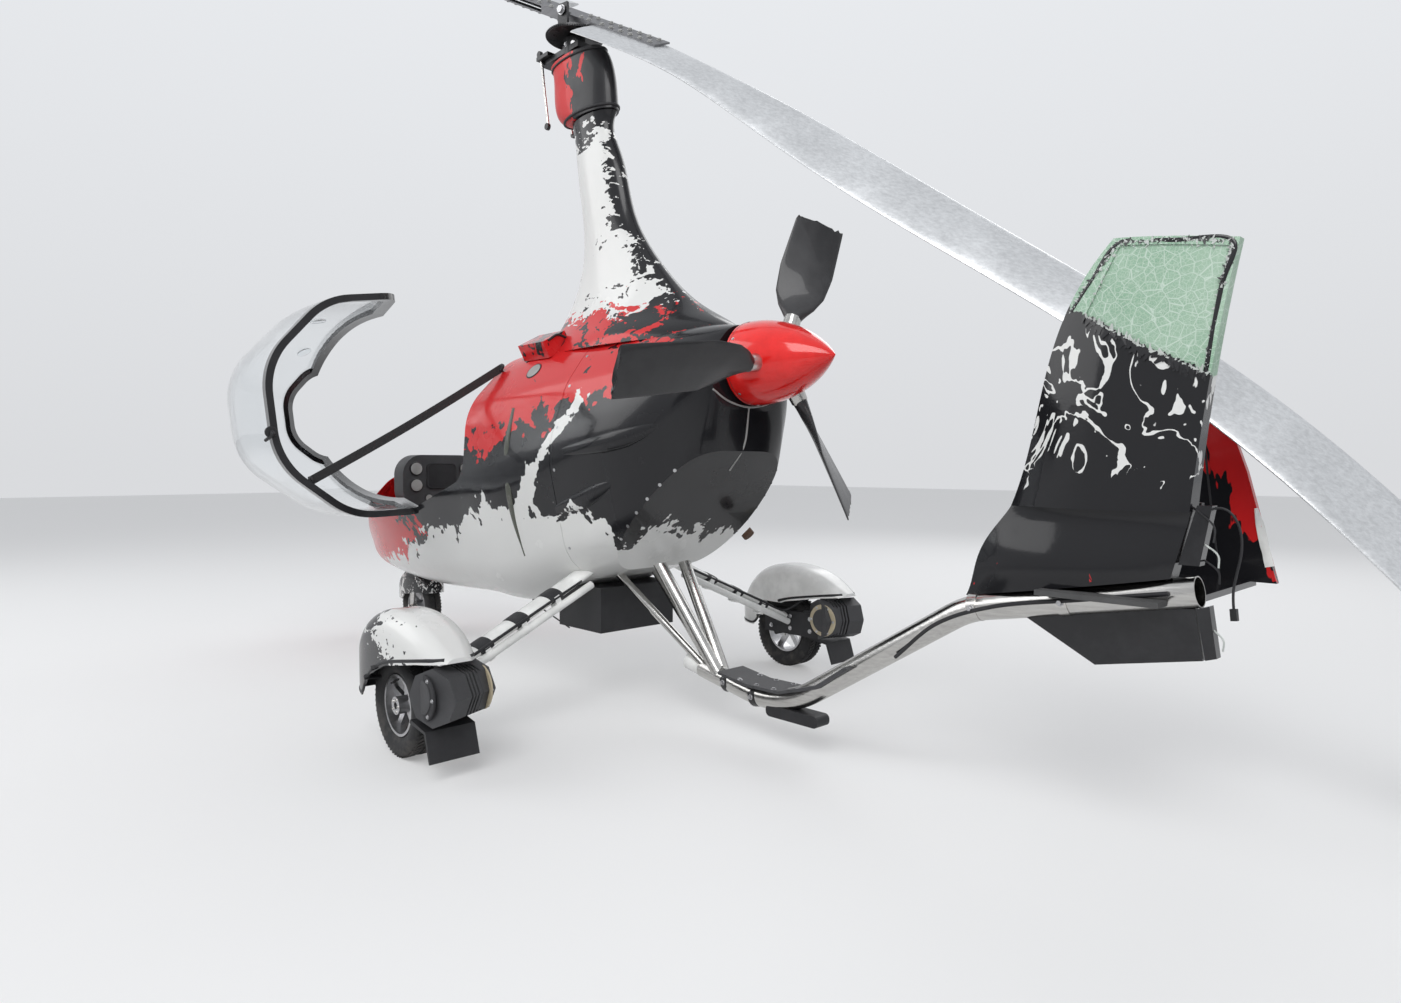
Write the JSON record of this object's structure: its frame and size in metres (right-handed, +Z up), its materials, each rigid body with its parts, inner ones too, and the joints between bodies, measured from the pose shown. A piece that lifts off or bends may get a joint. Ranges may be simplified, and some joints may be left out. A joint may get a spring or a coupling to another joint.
{
  "type": "gyrocopter",
  "caption": "Tandem-seat gyrocopter with an open side-hinged canopy, a pusher propeller with snapped blades, one rotor blade bent down over a torn tail fin, and tricycle gear with fairings.",
  "frame": {"origin": "middle of the underside of the object's bounding box as parked with the canopy open, on the ground", "axes": "+X forward to the nose, +Y to the aircraft's left, +Z up"},
  "size_m": [6.8823, 2.3127, 5.0297],
  "materials": {
    "fuselage_paint": "glossy two-colour paint",
    "cowl_paint": "glossy paint",
    "boot": "satin",
    "fairing_white": "glossy paint",
    "fin_paint": "glossy paint",
    "laminate": "torn glass fibre",
    "canopy_frame": "glossy",
    "canopy_glass": "clear, one side tinted",
    "interior": "satin",
    "seat_cloth": "padded",
    "spinner_red": "glossy",
    "blade_black": "satin carbon",
    "rotor_alloy": "brushed",
    "dark_steel": "dark",
    "engine": "cast",
    "stainless": "polished",
    "leg_paint": "glossy",
    "black_plastic": "satin",
    "pod_metal": "dark, finned",
    "plug_white": "satin",
    "cable": "black",
    "webbing": "black",
    "tyre": "worn",
    "rim_alloy": "satin"
  },
  "bodies": {
    "airframe": {"fuselage_shell": "fuselage_paint", "engine_cowl": "cowl_paint", "mast_fairing": "cowl_paint", "shoulder_scoop": "cowl_paint", "mast_boot": "boot", "wheel_pant_left": "fairing_white", "wheel_pant_right": "fairing_white", "tail_fin": "fin_paint", "side_fin_right": "fin_paint", "tailplane_right": "fin_paint", "tailplane_stub_left": "fin_paint", "ventral_fin": "fin_paint", "rudder_stubs": "fin_paint", "fin_laminate": "laminate", "instrument_pod": "interior", "firewall": "interior", "control_sticks": "interior", "seat_front": "seat_cloth", "seat_rear": "seat_cloth", "rotor_head_base": "dark_steel", "hinge_brackets": "dark_steel", "exhaust_stub": "dark_steel", "engine_block": "engine", "propeller_housing": "engine", "keel_tube": "stainless", "keel_struts": "stainless", "keel_leaf": "stainless", "control_rods": "stainless", "gear_leg_left": "leg_paint", "gear_leg_right": "leg_paint", "wheel_arm_left": "black_plastic", "wheel_arm_right": "black_plastic", "mudflap_left": "black_plastic", "mudflap_right": "black_plastic", "keel_skid": "black_plastic", "radiator_box": "black_plastic", "belly_antenna": "black_plastic", "tail_bracket": "black_plastic", "cable_plug": "black_plastic", "finned_pod_left": "pod_metal", "finned_pod_right": "pod_metal", "keel_plug": "plug_white", "tail_cable": "cable", "canopy_strap": "webbing"},
    "canopy": {"canopy_frame": "canopy_frame", "canopy_glass": "canopy_glass"},
    "rotor": {"teeter_tower": "dark_steel", "hub_bar": "rotor_alloy", "rotor_blade_straight": "rotor_alloy", "rotor_blade_bent": "rotor_alloy"},
    "propeller": {"spinner": "spinner_red", "propeller_blades": "blade_black"},
    "nose_steering": {"nose_fork": "stainless", "nose_pant": "fairing_white"},
    "nose_wheel": {"nose_tyre": "tyre", "nose_rim": "rim_alloy"},
    "wheel_left": {"main_tyre_left": "tyre", "main_rim_left": "rim_alloy"},
    "wheel_right": {"main_tyre_right": "tyre", "main_rim_right": "rim_alloy"}
  },
  "joints": [
    {"name": "canopy_open", "type": "hinge", "parent": "airframe", "child": "canopy", "pos_m": [0.719, 0.407, 0.772], "axis": [1, 0, 0], "range_deg": [0, 96], "deforming": ["canopy_strap"]},
    {"name": "rotor_spin", "type": "hinge", "parent": "airframe", "child": "rotor", "pos_m": [-0.181, -0.065, 2.826], "axis": [0, 0, 1], "range_deg": [-6, 2]},
    {"name": "propeller_spin", "type": "hinge", "parent": "airframe", "child": "propeller", "pos_m": [-1.241, -0.065, 1.335], "axis": [1, 0, 0], "range_deg": [-245, 90]},
    {"name": "nose_steer", "type": "hinge", "parent": "airframe", "child": "nose_steering", "pos_m": [1.349, -0.065, 0.42], "axis": [0, 0, 1], "range_deg": [-25, 25]},
    {"name": "nose_wheel_spin", "type": "hinge", "parent": "nose_steering", "child": "nose_wheel", "pos_m": [1.375, -0.065, 0.175], "axis": [0, 1, 0], "continuous": true},
    {"name": "wheel_left_spin", "type": "hinge", "parent": "airframe", "child": "wheel_left", "pos_m": [-0.581, 0.913, 0.175], "axis": [0, 1, 0], "continuous": true},
    {"name": "wheel_right_spin", "type": "hinge", "parent": "airframe", "child": "wheel_right", "pos_m": [-0.581, -1.043, 0.175], "axis": [0, 1, 0], "continuous": true}
  ]
}
